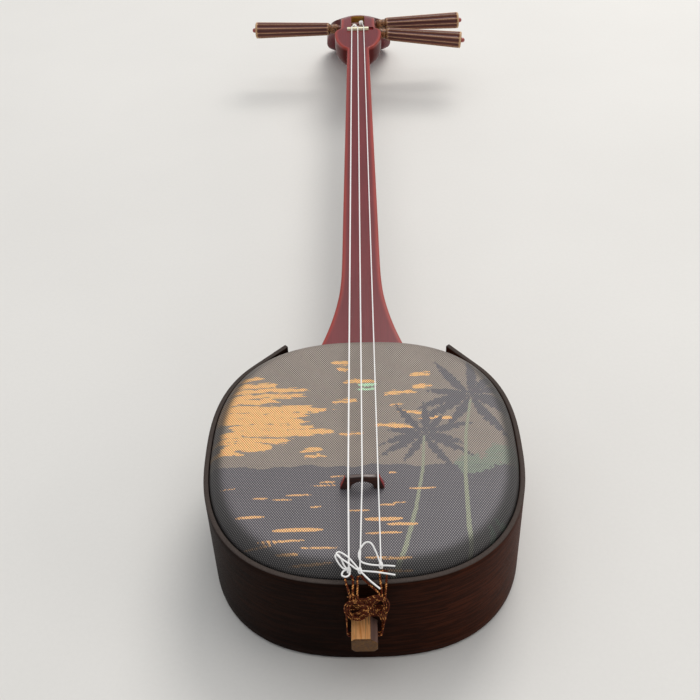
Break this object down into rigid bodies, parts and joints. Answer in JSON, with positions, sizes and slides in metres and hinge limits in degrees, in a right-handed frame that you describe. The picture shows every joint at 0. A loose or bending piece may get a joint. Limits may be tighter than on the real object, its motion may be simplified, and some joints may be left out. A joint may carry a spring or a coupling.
{
  "type": "three-string long-neck lute",
  "caption": "Fretless lute with a rounded-square skin-covered body, side wrap, slim lacquered neck, curved head, fluted tuning pegs, low bridge and knotted tail cord.",
  "frame": {"origin": "middle of the back skin's flat face, on the surface that the instrument lies on", "axes": "+Z out of the front skin, +Y along the neck towards the head, +X to the right seen from the front with the head up"},
  "size_m": [0.2173, 0.8044, 0.0864],
  "materials": {
    "printed_skin": "coarse coated basket weave with a printed dusk seascape, satin",
    "plain_skin": "coarse coated basket weave, satin",
    "stave_wood": "raw pale wood",
    "wrap_shell": "dark brown lacquer, satin",
    "red_lacquer": "transparent red lacquer over wood, glossy; raw striped wood at the tail end",
    "nut_ivory": "polished cream",
    "peg_wood": "carved ridges rubbed pale, dark red grooves, satin",
    "peg_bead": "red lacquer, glossy",
    "string_nylon": "white nylon, slightly glossy",
    "bridge_lacquer": "dark red lacquer, glossy",
    "tail_cord": "twisted brown cord with copper thread"
  },
  "bodies": {
    "body": {"front_skin": "printed_skin", "back_skin": "plain_skin", "body_stave_right": "stave_wood", "body_stave_head": "stave_wood", "body_stave_left": "stave_wood", "body_stave_tail": "stave_wood", "side_wrap": "wrap_shell", "neck": "red_lacquer", "nut": "nut_ivory", "string_left": "string_nylon", "string_knot_left": "string_nylon", "tail_loop_left": "tail_cord", "string_middle": "string_nylon", "string_knot_middle": "string_nylon", "tail_loop_middle": "tail_cord", "string_right": "string_nylon", "string_knot_right": "string_nylon", "tail_loop_right": "tail_cord", "tail_knot": "tail_cord", "tail_noose": "tail_cord"},
    "left_peg": {"peg_left": "peg_wood", "peg_bead_left": "peg_bead", "string_winding_left": "string_nylon"},
    "lower_right_peg": {"peg_right_lower": "peg_wood", "peg_bead_right_lower": "peg_bead", "string_winding_right_lower": "string_nylon"},
    "upper_right_peg": {"peg_right_upper": "peg_wood", "peg_bead_right_upper": "peg_bead", "string_winding_right_upper": "string_nylon"},
    "bridge": {"bridge": "bridge_lacquer"}
  },
  "joints": [
    {"name": "peg_left_turn", "type": "hinge", "parent": "body", "child": "left_peg", "pos_m": [0, 0.6032, 0.0606], "axis": [-0.9997, 0.0244, 0], "continuous": true},
    {"name": "peg_right_lower_turn", "type": "hinge", "parent": "body", "child": "lower_right_peg", "pos_m": [0, 0.5917, 0.0624], "axis": [0.9889, -0.139, -0.0523], "continuous": true},
    {"name": "peg_right_upper_turn", "type": "hinge", "parent": "body", "child": "upper_right_peg", "pos_m": [0, 0.6131, 0.0596], "axis": [0.9986, 0.0523, 0], "continuous": true},
    {"name": "bridge_slide", "type": "slide", "parent": "body", "child": "bridge", "axis": [0, 1, 0], "range_m": [0, 0.008]}
  ]
}
